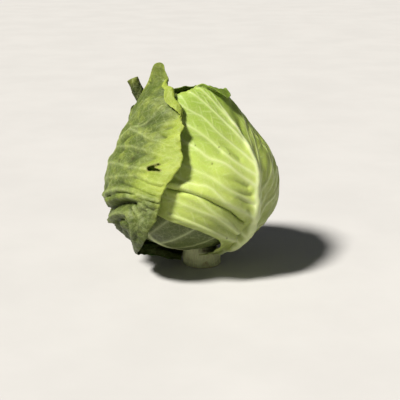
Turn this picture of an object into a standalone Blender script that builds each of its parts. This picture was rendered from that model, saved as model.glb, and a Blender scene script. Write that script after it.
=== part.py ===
"""A head of green cabbage, standing on its cut stalk.

Every wrapper leaf is a thin shell bent over the head, one layer outside the leaf under it, and each
springs from the stalk.  The packed leaves inside are one solid heart.  Metres, +Z up, the front is -Y.
"""

from typing import NamedTuple

import bmesh
import bpy
import numpy as np

# The head.  Its profile is the distance from its centre to the outermost layer, by latitude.
HEAD_CENTRE = np.array((0.0, 0.0, 0.086))
HEAD_LEAN = -6.0        # degrees, to the left
HEAD_PROFILE = (
    (-90.0, 0.0765), (-55.0, 0.0780), (-38.0, 0.0825), (-20.0, 0.0865), (5.0, 0.0845),
    (35.0, 0.0800), (55.0, 0.0850), (72.0, 0.0930), (90.0, 0.0930),
)
LAYER_STEP = 0.0032
OUTER_LAYER = 7
SHARP_ANGLE = 50.0      # degrees, above which an edge is shaded sharp
CROWN_STEP = 0.0011     # how much more each layer stands off round the crown

# The leaves' blades.
BLADE = 0.0012
RIB_WIDTH = 0.0075
RIPPLE = 11.0           # share of a leaf's half width that its margin wanders, for a metre of wave
FOOT_LATITUDE = -76.0
FOOT_GAP = 0.0006
LIFT_FROM = 0.5         # place across a leaf, 0 at its midrib, from which its edge may stand off
WAVE_FROM = 0.55        # place across a leaf from which its margin waves
WAVE_FOOT = 0.3         # place along a leaf up to which that wave grows
WAVE_TOP = 0.75         # place along a leaf from which its whole width waves
WAVE_SLANT = 2.0        # how far the wave runs on from the midrib to the margin, in radians
BEND_SIGHT = 0.004      # how far before a bend the blade's direction is taken
ROLL_HASTE = 1.6        # how soon a rolled end closes to its full curl
ROLL_SET = 3.0          # how soon it leaves the head
PLACES = 500            # steps in which drawn-together places are counted

# The heart and the stalk.
HEART_STEP = 0.0012
HEART_GAP = 0.0036
STALK_RADIUS = 0.0190
STALK_BARE = 0.0085     # height of the bare cut end below the leaves
STALK_SPARE = 0.006     # what the level cut takes off


class Curl(NamedTuple):
    """A stretch of a leaf's upper margin that bends out from the head and over."""

    centre: float           # its middle, as a place across the leaf
    reach: float            # half of its length, counted the same way
    width: float            # how much blade it takes, at its middle
    radius: float
    turn: float             # degrees


class Leaf(NamedTuple):
    """One leaf.  Angles are degrees on the head, azimuth to the right of the front."""

    name: str
    azimuth: float
    layer: int
    half_width: float
    top: float              # latitude of the upper end, past 90 over the crown
    colour: tuple
    centre: float = 0.0     # latitude that the leaf is laid out about
    left_edge: tuple = ((0.0, 0.2), (0.1, 0.5), (0.25, 0.8), (0.5, 1.0), (0.78, 0.93), (1.0, 0.68))
    right_edge: tuple = ((0.0, 0.2), (0.1, 0.5), (0.25, 0.8), (0.5, 1.0), (0.78, 0.93), (1.0, 0.68))
    top_edge: tuple = ((-1.0, -18.0), (-0.5, -5.0), (0.0, 0.0), (0.5, -5.0), (1.0, -18.0))
    lift: tuple = (0.0, 0.0)        # how far the left and right edges stand off
    wave: float = 0.0012
    waves: float = 5.0
    rib: float = 0.0012     # extra thickness of the midrib at its foot
    curls: tuple = ()
    roll: tuple = (1.0, 0.0)        # lengthwise roll: where along the leaf it starts, and its radius
    cells: tuple = (16, 16)         # along, across
    bunch: tuple = (0.0, 0.0)       # columns drawn to this place across, and how strongly
    top_rows: float = 0.0           # how strongly the rows are drawn to the upper edge


GREEN = (0.36, 0.47, 0.13)
PALE = (0.52, 0.62, 0.24)
DEEP = (0.20, 0.32, 0.09)

LEAVES = (
    Leaf("leaf_crown_back", 170.0, 1, 66.0, 112.0, PALE, centre=15.0, wave=0.0005, cells=(12, 12)),
    Leaf("leaf_crown_left", -70.0, 2, 64.0, 104.0, PALE, centre=15.0, wave=0.0005, cells=(12, 12)),
    Leaf("leaf_crown_right", 60.0, 3, 64.0, 92.0, PALE, centre=10.0, wave=0.0006,
         cells=(12, 12)),
    Leaf("leaf_under", -42.0, 4, 70.0, 80.0, GREEN, cells=(16, 16),
         right_edge=((0.0, 0.6), (0.08, 0.95), (0.25, 1.05), (0.5, 1.05), (0.78, 0.93), (1.0, 0.68))),
    Leaf("leaf_back", 176.0, 4, 58.0, 80.0, GREEN, cells=(16, 16)),
    Leaf("leaf_right", 145.0, 5, 74.0, 70.0, GREEN, rib=0.0025, cells=(18, 18), bunch=(0.0, 2.0)),
    Leaf("leaf_rolled", -130.0, 6, 30.0, 74.0, DEEP, wave=0.0004,
         left_edge=((0.0, 0.3), (0.3, 1.0), (0.6, 0.8), (0.8, 0.55), (1.0, 0.45)),
         right_edge=((0.0, 0.3), (0.3, 1.0), (0.6, 0.8), (0.8, 0.55), (1.0, 0.45)),
         top_edge=((-1.0, -4.0), (0.0, 0.0), (1.0, -4.0)),
         curls=(Curl(0.0, 4.0, 0.038, 0.014, 56.0),), roll=(0.80, 0.0060), cells=(18, 10),
         top_rows=1.5),
    Leaf("leaf_front", 46.0, 6, 77.0, 78.0, PALE, rib=0.003,
         left_edge=((0.0, 0.24), (0.16, 0.27), (0.28, 0.32), (0.36, 0.55), (0.42, 0.82), (0.55, 1.0),
                    (0.78, 0.93), (1.0, 0.68)),
         top_edge=((-1.0, -18.0), (-0.5, -5.0), (-0.2, -3.0), (-0.05, -3.0), (0.06, -0.5), (0.16, -0.5),
                   (0.25, -4.0), (0.34, -8.5), (0.45, -12.0), (0.6, -15.0), (1.0, -22.0)),
         curls=(Curl(0.12, 0.32, 0.019, 0.0028, 165.0),), cells=(22, 20), bunch=(0.05, 2.5), top_rows=3.0),
    Leaf("leaf_left", -98.0, 7, 83.0, 74.0, DEEP, lift=(0.0, 0.004), rib=0.003,
         right_edge=((0.0, 0.15), (0.17, 0.24), (0.33, 0.76), (0.55, 0.98), (0.8, 1.01), (1.0, 0.76)),
         top_edge=((-1.0, -44.0), (-0.5, -36.0), (-0.22, -34.0), (-0.05, -25.0), (0.01, -16.0), (0.035, -8.0),
                   (0.06, -1.0), (0.1, 8.0), (0.135, 14.0), (0.165, 17.0), (0.2, 14.0), (0.28, 10.5),
                   (0.36, 12.0), (0.45, 16.5), (0.6, 17.0), (0.72, 13.0), (0.85, 6.0), (1.0, -2.0)),
         curls=(Curl(0.15, 0.14, 0.024, 0.014, 60.0), Curl(0.56, 0.52, 0.015, 0.0024, 165.0)),
         cells=(22, 22), bunch=(0.12, 1.5), top_rows=3.0),
)


def clear_scene():
    for old in list(bpy.data.objects):
        bpy.data.objects.remove(old)


def smooth(value):
    """0 below 0, 1 above 1, and an even slope between."""
    value = np.clip(value, 0.0, 1.0)
    return value * value * (3.0 - 2.0 * value)


def hump(value):
    """1 at 0, falling to 0 at 1 and -1."""
    return smooth(1.0 - np.abs(value))


def through(points, value):
    """A smooth curve through (place, height) points, read at value."""
    places, heights = np.array(points).T
    value = np.clip(value, places[0], places[-1])
    slopes = np.gradient(heights, places)
    left = np.clip(np.searchsorted(places, value, side="right") - 1, 0, len(places) - 2)
    span = places[left + 1] - places[left]
    t = (value - places[left]) / span
    return (
        heights[left] * (1.0 + 2.0 * t) * (1.0 - t) ** 2
        + heights[left + 1] * t * t * (3.0 - 2.0 * t)
        + span * t * (1.0 - t) * (slopes[left] * (1.0 - t) - slopes[left + 1] * t)
    )


def head_radius(latitude):
    return through(HEAD_PROFILE, latitude)


def layer_depth(layer, latitude=-90.0):
    """How far in from the outermost one a layer lies; layers open a little round the crown."""
    return (OUTER_LAYER - layer) * LAYER_STEP - layer * CROWN_STEP * smooth((latitude - 45.0) / 35.0)


def on_head(leaf, x, y):
    """Directions from the head's centre for a leaf's flat angles: x across it, y up from the girth."""
    azimuth, centre = np.radians(leaf.azimuth), np.radians(leaf.centre)
    middle = np.array((np.sin(azimuth) * np.cos(centre), -np.cos(azimuth) * np.cos(centre), np.sin(centre)))
    right = np.array((np.cos(azimuth), np.sin(azimuth), 0.0))
    up = np.cross(middle, right)
    y = y - centre
    far = np.hypot(x, y) + 1e-9
    share = (np.sin(far) / far)[..., None]
    return np.cos(far)[..., None] * middle + share * (x[..., None] * right + y[..., None] * up)


def outline(leaf, across, along):
    """Flat angles in radians of the place across (-1 to 1) and along (0 to 1) a leaf."""
    share = np.where(across < 0.0, through(leaf.left_edge, along), through(leaf.right_edge, along))
    ripple = leaf.wave * RIPPLE * np.sin(1.5 * leaf.waves * np.pi * along + leaf.azimuth)
    x = across * leaf.half_width * (share + ripple * across * across)
    crest = leaf.wave * RIPPLE * leaf.half_width * np.sin(leaf.waves * np.pi * across + leaf.azimuth)
    edge = through(leaf.top_edge, across) + crest
    y = FOOT_LATITUDE + (leaf.top - FOOT_LATITUDE) * along + edge * along**4
    return np.radians(x), np.radians(y)


def stand_off(leaf, across, along):
    """How far a leaf's inner face stands out from its layer."""
    left, right = leaf.lift
    out = smooth((np.abs(across) - LIFT_FROM) / (1.0 - LIFT_FROM))
    off = np.where(across < 0.0, left, right) * out
    edge = smooth((np.abs(across) - WAVE_FROM) / (1.0 - WAVE_FROM)) * smooth(along / WAVE_FOOT)
    edge = np.maximum(edge, smooth((along - WAVE_TOP) / (1.0 - WAVE_TOP)))
    turns = np.sin(leaf.waves * np.pi * along + WAVE_SLANT * across)
    return off + 0.5 * leaf.wave * edge * (1.0 + turns)


def bend_line(line, out, width, radius, turn):
    """Bends the last stretch of a line of points, of that width, about an edge square to it."""
    steps = np.linalg.norm(np.diff(line, axis=0), axis=1)
    run = np.concatenate(([0.0], np.cumsum(steps)))
    start = run[-1] - width
    foot = np.array([np.interp(start, run, line[:, k]) for k in range(3)])
    before = np.array([np.interp(start - BEND_SIGHT, run, line[:, k]) for k in range(3)])
    ahead = (foot - before) / np.linalg.norm(foot - before)
    out = out - ahead * np.dot(out, ahead)
    out = out / np.linalg.norm(out)
    past = run > start
    far = run[past] - start
    angle = np.minimum(far / radius, abs(turn))
    rest = far - angle * radius
    side = np.sign(turn) * out
    bent = line.copy()
    bent[past] = (
        foot
        + np.outer(radius * np.sin(angle) + rest * np.cos(angle), ahead)
        + np.outer(radius * (1.0 - np.cos(angle)) + rest * np.sin(angle), side)
    )
    return bent


def curl_margin(points, curl, across):
    """Bends a stretch of a leaf's upper margin outwards, column by column."""
    curled = points.copy()
    for column, place in enumerate(across):
        share = float(hump((place - curl.centre) / curl.reach))
        if share * curl.width < 1e-4:
            continue
        out = points[-1, column] - HEAD_CENTRE
        turn = np.radians(curl.turn) * min(1.0, 2.0 * share)
        curled[:, column] = bend_line(
            points[:, column], out / np.linalg.norm(out), share * curl.width, curl.radius, turn
        )
    return curled


def drawn_together(low, high, count, place, pull, spread):
    """Evenly counted places from low to high, closer together round one place."""
    fine = np.linspace(low, high, PLACES)
    crowding = np.cumsum(1.0 + pull * np.exp(-(((fine - place) / spread) ** 2)))
    return np.interp(np.linspace(crowding[0], crowding[-1], count + 1), crowding, fine)


def roll_lengthwise(points, leaf, along):
    """Rolls the upper part of a leaf into a tube about its midrib, open towards the head's outside."""
    start, radius = leaf.roll
    middle = points.shape[1] // 2
    rolled = points.copy()
    for index, place in enumerate(along):
        share = smooth((place - start) / (1.0 - start) * ROLL_HASTE)
        if share <= 0.0:
            continue
        line = points[index]
        spine = line[middle]
        ahead = points[min(index + 1, len(along) - 1), middle] - points[index - 1, middle]
        ahead = ahead / np.linalg.norm(ahead)
        side = line[middle + 1] - line[middle - 1]
        side = side - ahead * np.dot(side, ahead)
        side = side / np.linalg.norm(side)
        out = np.cross(side, ahead)
        steps = np.linalg.norm(np.diff(line, axis=0), axis=1)
        run = np.concatenate(([0.0], np.cumsum(steps)))
        run = run - run[middle]
        bow = share / radius
        tube = spine + np.outer(np.sin(run * bow) / bow, side)
        tube = tube + np.outer((1.0 - np.cos(run * bow)) / bow, out)
        rolled[index] = line + (tube - line) * min(1.0, ROLL_SET * share)
    return rolled


def leaf_points(leaf):
    """The leaf's inner face as rows of points, foot first, and its thickness at each."""
    along = drawn_together(0.0, 1.0, leaf.cells[0], 1.0, leaf.top_rows, 0.15)
    across = drawn_together(-1.0, 1.0, leaf.cells[1], *leaf.bunch, 0.3)
    u, v = np.meshgrid(across, along)
    x, y = outline(leaf, u, v)
    heading = on_head(leaf, x, y)
    latitude = np.degrees(np.arcsin(np.clip(heading[..., 2], -1.0, 1.0)))
    radius = head_radius(latitude) - layer_depth(leaf.layer, latitude) + stand_off(leaf, u, v)
    points = HEAD_CENTRE + radius[..., None] * heading
    for curl in leaf.curls:
        points = curl_margin(points, curl, across)
    if leaf.roll[1] > 0.0:
        points = roll_lengthwise(points, leaf, along)
    off_rib = np.abs(x) * head_radius(0.0) / (RIB_WIDTH * (1.0 - 0.7 * v))
    thickness = BLADE + leaf.rib * (1.0 - v) * np.exp(-(off_rib**2))
    return points, thickness


def add_material(obj, name, colour, roughness):
    finish = bpy.data.materials.new(name)
    finish.use_nodes = True
    shader = finish.node_tree.nodes["Principled BSDF"]
    shader.inputs["Base Color"].default_value = (*colour, 1.0)
    shader.inputs["Roughness"].default_value = roughness
    shader.inputs["Metallic"].default_value = 0.0
    obj.data.materials.append(finish)


def add_object(name, mesh, collection):
    obj = bpy.data.objects.new(name, mesh)
    collection.objects.link(obj)
    return obj


def soften(obj):
    """Shades a mesh smooth except at its sharp edges."""
    obj.data.shade_smooth()
    obj.data.set_sharp_from_angle(angle=np.radians(SHARP_ANGLE))


def build_leaf(leaf, collection):
    """One wrapper leaf: a grid laid on the head, given its thickness outwards."""
    points, thickness = leaf_points(leaf)
    rows, columns = leaf.cells
    sheet = bmesh.new()
    bmesh.ops.create_grid(sheet, x_segments=columns, y_segments=rows, size=1.0)
    places = []
    for vertex in sheet.verts:
        column = round((vertex.co.x + 1.0) * columns / 2.0)
        row = round((vertex.co.y + 1.0) * rows / 2.0)
        places.append((row, column))
        vertex.co = points[row, column]
    bmesh.ops.triangulate(sheet, faces=sheet.faces)
    mesh = bpy.data.meshes.new(leaf.name)
    sheet.to_mesh(mesh)
    sheet.free()
    obj = add_object(leaf.name, mesh, collection)
    most = BLADE + leaf.rib
    group = obj.vertex_groups.new(name="thickness")
    for index, place in enumerate(places):
        group.add([index], float(thickness[place] / most), "REPLACE")
    shell = obj.modifiers.new("blade", "SOLIDIFY")
    shell.thickness = most
    shell.offset = 1.0
    shell.vertex_group = group.name
    soften(obj)
    add_material(obj, leaf.name, leaf.colour, 0.45)
    return obj


def build_heart(collection):
    """The packed inner leaves: an ovoid whose spiral steps are their overlapping edges."""
    ball = bmesh.new()
    bmesh.ops.create_uvsphere(ball, u_segments=30, v_segments=18, radius=1.0)
    for vertex in ball.verts:
        heading = np.array(vertex.co.normalized())
        latitude = np.degrees(np.arcsin(np.clip(heading[2], -1.0, 1.0)))
        turn = (np.degrees(np.arctan2(heading[1], heading[0])) + 1.5 * latitude) / 120.0
        step = HEART_STEP * (turn % 1.0) * smooth((latitude + 60.0) / 60.0)
        radius = head_radius(latitude) - layer_depth(1) - HEART_GAP - HEART_STEP + step
        vertex.co = HEAD_CENTRE + radius * heading
    mesh = bpy.data.meshes.new("heart")
    ball.to_mesh(mesh)
    ball.free()
    obj = add_object("heart", mesh, collection)
    soften(obj)
    add_material(obj, "heart", (0.62, 0.68, 0.34), 0.5)
    return obj


def build_stalk(collection, holder):
    """The cut stalk: a short bare round end, cut off level, and a taper up inside the ring of leaf feet."""
    slope = np.tan(np.radians(90.0 + FOOT_LATITUDE))
    base = head_radius(-90.0) - layer_depth(1) - HEART_GAP - HEART_STEP
    top = HEAD_CENTRE[2] - base - FOOT_GAP
    outline_points = (
        (0.0, top),
        ((HEAD_CENTRE[2] - top) * slope - FOOT_GAP, top),
        ((HEAD_CENTRE[2] - STALK_BARE) * slope - FOOT_GAP, STALK_BARE),
        (STALK_RADIUS, -STALK_SPARE),
        (0.0, -STALK_SPARE),
    )
    profile = bmesh.new()
    corners = [profile.verts.new((x, 0.0, z)) for x, z in outline_points]
    for start, end in zip(corners, corners[1:]):
        profile.edges.new((start, end))
    mesh = bpy.data.meshes.new("stalk")
    profile.to_mesh(mesh)
    profile.free()
    obj = add_object("stalk", mesh, collection)
    obj.parent = holder
    turn = obj.modifiers.new("turn", "SCREW")
    turn.steps = turn.render_steps = 32
    turn.use_merge_vertices = True
    turn.merge_threshold = 0.00005
    soften(obj)
    cut = obj.modifiers.new("level cut", "BOOLEAN")
    cut.operation = "DIFFERENCE"
    cut.object = build_cutter()
    add_material(obj, "stalk", (0.70, 0.68, 0.45), 0.6)
    return obj


def build_cutter():
    """A block under the floor that cuts the stalk's end level."""
    side, depth = 6.0 * STALK_RADIUS, 4.0 * STALK_SPARE
    block = bmesh.new()
    bmesh.ops.create_cube(block, size=1.0)
    bmesh.ops.scale(block, vec=(side, side, depth), verts=block.verts)
    bmesh.ops.translate(block, vec=(0.0, 0.0, -depth / 2.0), verts=block.verts)
    mesh = bpy.data.meshes.new("level_cutter")
    block.to_mesh(mesh)
    block.free()
    cutters = bpy.data.collections.new("cutters")
    bpy.context.scene.collection.children.link(cutters)
    cutter = add_object("level_cutter", mesh, cutters)
    cutter.hide_render = True
    cutter.display_type = "WIRE"
    return cutter


def main():
    clear_scene()
    cabbage = bpy.data.collections.new("cabbage")
    bpy.context.scene.collection.children.link(cabbage)
    holder = bpy.data.objects.new("lean", None)
    cabbage.objects.link(holder)
    holder.rotation_euler = (0.0, np.radians(HEAD_LEAN), 0.0)
    for leaf in LEAVES:
        build_leaf(leaf, cabbage).parent = holder
    build_heart(cabbage).parent = holder
    build_stalk(cabbage, holder)


main()
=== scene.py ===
"""A head of green cabbage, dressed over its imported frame.

Each leaf is laid on the head by the rule that made its solid, from the same values, and then gets what
shows from close by: its ribs and veins, its creases, its ragged margin and a thin blade.  Metres, +Z up,
the front is -Y.
"""

from typing import NamedTuple

import bpy
import numpy as np
from bpy.props import FloatProperty, FloatVectorProperty, IntProperty, PointerProperty
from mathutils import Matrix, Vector


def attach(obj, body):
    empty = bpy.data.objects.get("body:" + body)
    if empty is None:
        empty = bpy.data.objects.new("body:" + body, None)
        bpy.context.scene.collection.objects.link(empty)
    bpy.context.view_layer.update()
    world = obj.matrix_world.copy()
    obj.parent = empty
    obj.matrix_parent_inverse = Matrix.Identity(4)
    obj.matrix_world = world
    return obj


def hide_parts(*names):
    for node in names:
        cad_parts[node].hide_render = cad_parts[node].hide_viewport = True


bl_info = {
    "name": "Green Cabbage",
    "version": (1, 0, 0),
    "blender": (4, 5, 0),
    "location": "3D View > Sidebar > Cabbage",
    "description": "Dresses the packed head of cabbage with fine leaves, a stalk, light and a camera",
    "category": "Object",
}

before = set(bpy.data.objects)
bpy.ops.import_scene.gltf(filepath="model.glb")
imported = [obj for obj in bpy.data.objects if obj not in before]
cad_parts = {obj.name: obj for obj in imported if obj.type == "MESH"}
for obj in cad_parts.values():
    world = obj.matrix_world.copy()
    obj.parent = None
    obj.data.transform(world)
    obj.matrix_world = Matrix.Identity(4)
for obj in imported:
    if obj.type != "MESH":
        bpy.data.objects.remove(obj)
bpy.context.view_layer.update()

# The stage.
SENSOR = 36.0
LENS = 85.0
CAMERA_SHIFT = (-0.005, -0.0533)
FLOOR_SIZE = 24.0
KEY_PLACE = (-0.80, -0.60, 1.30)
KEY_COLOUR = (1.0, 0.97, 0.91)
KEY_ANGLE = 11.0        # degrees, for soft shadows
FILL_PLACE = (0.9, -0.9, 0.85)
FILL_COLOUR = (0.92, 0.96, 1.0)
FILL_SIZE = 0.9
SKY_COLOUR = (0.93, 0.96, 1.0, 1.0)

# The head, as in its solids.
HEAD_CENTRE = np.array((0.0, 0.0, 0.086))
HEAD_LEAN = -6.0        # degrees, to the left
HEAD_PROFILE = (
    (-90.0, 0.0765), (-55.0, 0.0780), (-38.0, 0.0825), (-20.0, 0.0865), (5.0, 0.0845),
    (35.0, 0.0800), (55.0, 0.0850), (72.0, 0.0930), (90.0, 0.0930),
)
LAYER_STEP = 0.0032
OUTER_LAYER = 7
CROWN_STEP = 0.0011
FOOT_LATITUDE = -76.0
FOOT_GAP = 0.0006
RIPPLE = 11.0
LIFT_FROM = 0.5
WAVE_FROM = 0.55
WAVE_FOOT = 0.3
WAVE_TOP = 0.75
WAVE_SLANT = 2.0
BEND_SIGHT = 0.004
ROLL_HASTE = 1.6
ROLL_SET = 3.0
PLACES = 500
HEART_STEP = 0.0012
HEART_GAP = 0.0036
HEART_SLANT = 1.5
HEART_LEAF = 120.0      # degrees from step to step
STALK_RADIUS = 0.0190
STALK_BARE = 0.0085
STALK_SPARE = 0.006
MM_A_DEGREE = 1.5       # a degree of the head's girth, in millimetres
USUAL_EDGE = ((0.0, 0.2), (0.1, 0.5), (0.25, 0.8), (0.5, 1.0), (0.78, 0.93), (1.0, 0.68))

# The skins of the heart and of the stalk.
HEART_GRID = {"segments": 180, "ring_count": 120}
HEART_RIBS = 60.0       # degrees from rib to rib
HEART_RIB_WIDTH = 5.0   # millimetres
HEART_VEINS = 14.0      # degrees from vein to vein
HEART_VEIN_WIDTH = 0.9  # degrees
HEART_SWELL_GAP = 12.0  # millimetres
RIB_RISE = 0.0002
VEIN_RISE = 0.00015
SWELL_RISE = 0.00012
STALK_COLUMNS = 128
STALK_ROWS = (8, 24, 26, 34)        # over its top, down its neck, down its side, over its cut face
CUT_FROM = 0.60         # share of its rows above which the cut face lies
FIBRE_GAP = 3.0
SCAR_GAP = 14.0
FIBRE_DEPTH = 0.00022
SCAR_DEPTH = 0.0004
RIM_ROUNDING = 0.0006
RING_RISE = 0.00012
PITH_RISE = 0.0003

# A blade's relief: how far apart its forms lie, in millimetres, and how wide its margins are, as shares.
COMB_GAP = 13.0         # hollows that follow the side veins
COMB_TURN = 6.0
COMB_STRETCH = 0.30
SWELL_GAP = 34.0
SWAY_GAP = 45.0
SWAY = 6.0
WRINKLE_GAP = 8.0
CREASE_GAP = 6.0
SLACK_TOP = 20.0        # a wilted blade is slackest between its slack top and its slack foot
SLACK_FOOT = -60.0
SLACK_REACH = 40.0
RUFFLE_GAP = 13.0
CALM_MARGIN = (0.12, 0.08)
RUFFLE_MARGIN = (0.10, 0.06)
THIN_MARGIN = (0.06, 0.04)
FLARE_FROM = 0.70
AGED_FROM = 0.58
AGED_OVER = 2.0         # millimetres up
# Painted shade: a blade's creases are darkened in colour, in full at this depth.
CREASE_SHADE_DEPTH = 2.2      # millimetres, of a crease that is darkened in full
FRAY_GAPS = (14.0, 5.0)
FRAY_SCALE = 90.0       # from radians of a leaf to about millimetres
VEIN_REACH = 84.0       # degrees
VEIN_CORE = (0.8, 0.35)     # a side vein's width at its two ends, as shares of the usual one
VEIN_HALO = (2.8, 1.3)
TWIG_WIDTH = (0.5, 0.3)
TWIG_PLACES = np.arange(0.10, 0.92, 0.07)
TWIG_STEPS = 5
TORN = 0.5              # where a leaf's "torn" field is above this, it has a hole
TORN_RIM = 0.05

# Scales of the patterns in a skin: the higher, the finer.
BLOOM_SCALE = 26.0
CLOUD_SCALE = 38.0
DOTTED_SCALE = 45.0
PATCH_SCALE = 70.0
DOT_SCALE = 95.0
NET_SWAY_SCALE = 160.0
STALK_BLOTCH_SCALE = 160.0
COARSE_NET_SCALE = 170.0
MOTTLE_SCALE = 190.0
WRINKLE_SCALE = 420.0
FINE_NET_SCALE = 460.0
VESSEL_SCALE = 620.0
GRAIN_SCALE = 900.0
RING_PACE = 2400.0
NET_SWAY = (0.0035, 0.0035, 0.0035)
BROWNED_FROM = 0.0135       # metres from the cut face's middle
BROWNED_AT = 0.0175

# Tints, as factors of a leaf's own green where nothing else is said.
DEEP = 0.66
BRIGHT = 1.15
GREENER = (0.50, 0.60, 0.38)
# The inner face's darker green: partly its own colour, partly painted shade.
GREEN_INNER_FACE_AND_SHADE = (0.459, 0.493, 0.323)    # of the greener tint
AGED_WITHIN = 1.0625                    # of the aged colour
# Painted shade: the darker tint laid over a leaf towards its foot.
FOOT_SHADE_TINT = (0.37, 0.37, 0.36)
# Painted shade: the darker, bluer tint laid in a blade's creases.
CREASE_SHADE_TINT = (0.40, 0.42, 0.5)


class Curl(NamedTuple):
    """A stretch of a leaf's upper margin that bends out from the head and over."""

    centre: float
    reach: float
    width: float
    radius: float
    turn: float


class Fold(NamedTuple):
    """A ridge, or with a negative height a crease, along a line."""

    line: tuple
    height: float           # millimetres
    width: float            # millimetres
    fade: float = 0.0       # share of its height that is lost along it


class Leaf(NamedTuple):
    """One leaf.  Angles are degrees on the head, azimuth to the right of the front."""

    name: str
    azimuth: float
    layer: int
    half_width: float
    top: float
    slot: str
    centre: float = 0.0
    left_edge: tuple = USUAL_EDGE   # (along, half width) as shares
    right_edge: tuple = USUAL_EDGE
    top_edge: tuple = ((-1.0, -18.0), (-0.5, -5.0), (0.0, 0.0), (0.5, -5.0), (1.0, -18.0))
    lift: tuple = (0.0, 0.0)
    wave: float = 0.0012
    waves: float = 5.0
    curls: tuple = ()
    roll: tuple = (1.0, 0.0)
    bunch: tuple = (0.0, 0.0)
    top_rows: float = 0.0
    cells: tuple = (120, 120)       # along, across
    rib: float = 0.0016             # how far the midrib stands out at its foot
    midrib: tuple = ((-76.0, 0.0), (0.0, 1.0), (90.0, 0.0))
    veins_left: tuple = (           # (start, slope) of side veins that are drawn by rule
        (-62, 0.35), (-48, 0.5), (-34, 0.65), (-20, 0.8), (-7, 1.0), (7, 1.3), (20, 1.6), (33, 1.9), (46, 2.2),
    )
    veins_right: tuple = (
        (-56, 0.35), (-41, 0.5), (-27, 0.7), (-14, 0.9), (0, 1.1), (13, 1.4), (26, 1.7), (40, 2.0),
    )
    veins: tuple = ()               # lines of the side veins that are drawn one by one
    vein_height: float = 0.35       # millimetres
    vein_spread: float = 1.0        # width of its side veins beside the usual one
    roll_height: float = 0.25       # millimetres, of the blade's broad unevenness
    crumple: float = 0.0            # millimetres, of a wilted blade's wrinkles
    flare: float = 0.0              # millimetres that the right margin turns out
    ruffle: float = 0.4             # millimetres, of the margin's small waves
    nibble: float = 0.5             # millimetres, of the margin's ragged line
    aged: float = 0.0               # how far the right side has yellowed
    folds: tuple = ()
    slits: tuple = ()               # (line, half width in millimetres)
    specks: tuple = ()              # (across, up, size in millimetres) of single dark spots


# Lines drawn on a leaf, each as flat angles: across, up, across, up and so on, from the midrib outwards.
FRONT_VEINS = (
    (-1, -60, -18, -55, -38, -46, -60, -34),
    (-2, -44, -11, -37, -19, -32, -38, -19, -48, -13, -62, -6),
    (-2.6, -34, -14, -27, -24, -16, -31, -10, -39, -1, -43, 5, -54, 15),
    (-20, -21, -32, -11, -41, -6.5, -53, 1, -66, 8),
    (-3.4, -18, -12, -12, -27, -1, -34, 9, -45, 13, -53, 21, -66, 32),
    (-2.8, -11, -9, -5, -23, 6, -32, 16, -40, 22, -54, 36),
    (-1.4, 2, -11, 12, -18, 21, -29, 30, -32, 36, -36, 42, -44, 54),
    (0.8, 8, -13, 24.5, -21, 41, -25, 48, -29, 54, -35, 66),
    (3, 14, -1, 23.5, -6.5, 34, -12.5, 45, -15, 52, -17, 57, -21, 61, -27, 71),
    (5.1, 27, 1, 40, -4, 52, -9, 62, -14, 72),
    (3.6, 45, 0, 56, -4, 68, -6, 78),
    (0, -55, 14, -57, 34, -56),
    (-1.5, -42, 12, -42.5, 30, -40, 50, -33),
    (-2.5, -33, 1, -31.5, 14, -31, 30, -29, 48, -21),
    (-2.6, -27, 13, -26.5, 28, -23, 46, -14),
    (-3, -19, 5, -13, 16, -11, 29, -8, 48, 2),
    (-2.4, -9, 1.7, -2, 11, 1.5, 20, 6, 27, 12, 30, 20, 27, 31, 25, 44),
    (20, 6, 31, 12, 42, 22, 50, 36),
    (-3, -13, 0.5, -9.5, 6.8, -7, 13.6, -4.6, 22, -0.5, 36, 7),
    (-0.5, -1.5, 1, 2.3, 5.1, 11.2, 11.7, 18.9, 17.4, 28.3, 24, 40),
    (3.6, 14, 8, 24, 16, 38, 24, 52),
)
FRONT_FOLDS = (
    Fold((-1.5, -52, -2.6, -27, -3.6, -15, -0.9, 1, 2, 9, 5, 27, 4.6, 41, 2.6, 52), 2.4, 9.0),
    Fold((-12, -19, -15, -17, -22, -9, -31, -3, -37, 2, -46, 7, -60, 12.5), -2.7, 1.6),
    Fold((-13, -12, -22, -4.5, -32, 2, -47, 11, -60, 16.5), 3.0, 4.2),
    Fold((-14, -28, -24, -17, -31, -11, -39, -2, -46, 3.5, -56, 8), 1.8, 2.2, 0.6),
    Fold((-8, -34, -20, -25.5, -33, -15, -48, -6, -60, 0), -2.0, 2.8, 0.9),
    Fold((-11, -38, -20, -32.5, -38, -20, -48, -14, -60, -8), 1.4, 1.8),
    Fold((-5, -22, -9, -27, -9, -36, -5, -50), -2.4, 3.2),
    Fold((-7, 3, -14, 8, -22, 12, -34, 20), -1.8, 2.6, 1.0),
    Fold((-6, -3, -13, 0, -22, 5, -31, 11), -1.8, 2.4, 1.0),
    Fold((-5, -9, -12, -5, -20, 0, -28, 5), -1.6, 2.0, 1.0),
    Fold((-18, 31, -23, 41, -28, 50), -1.2, 4.0, 0.8),
    Fold((-6, 22, -11, 32, -17, 42, -21, 52), -1.3, 3.4, 0.8),
    Fold(FRONT_VEINS[15], 0.7, 1.2),
    Fold(FRONT_VEINS[14], 0.7, 1.2),
    Fold(FRONT_VEINS[13], 0.7, 1.2),
    Fold(FRONT_VEINS[16][:-2], 0.4, 1.3),
    Fold((6, -22, 18, -20, 32, -16), -0.9, 2.6),
    Fold((6, -32, 18, -32, 32, -29), -0.9, 2.6),
    Fold((9, -6, 20, -3, 34, 3), -0.6, 3.0),
)
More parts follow.
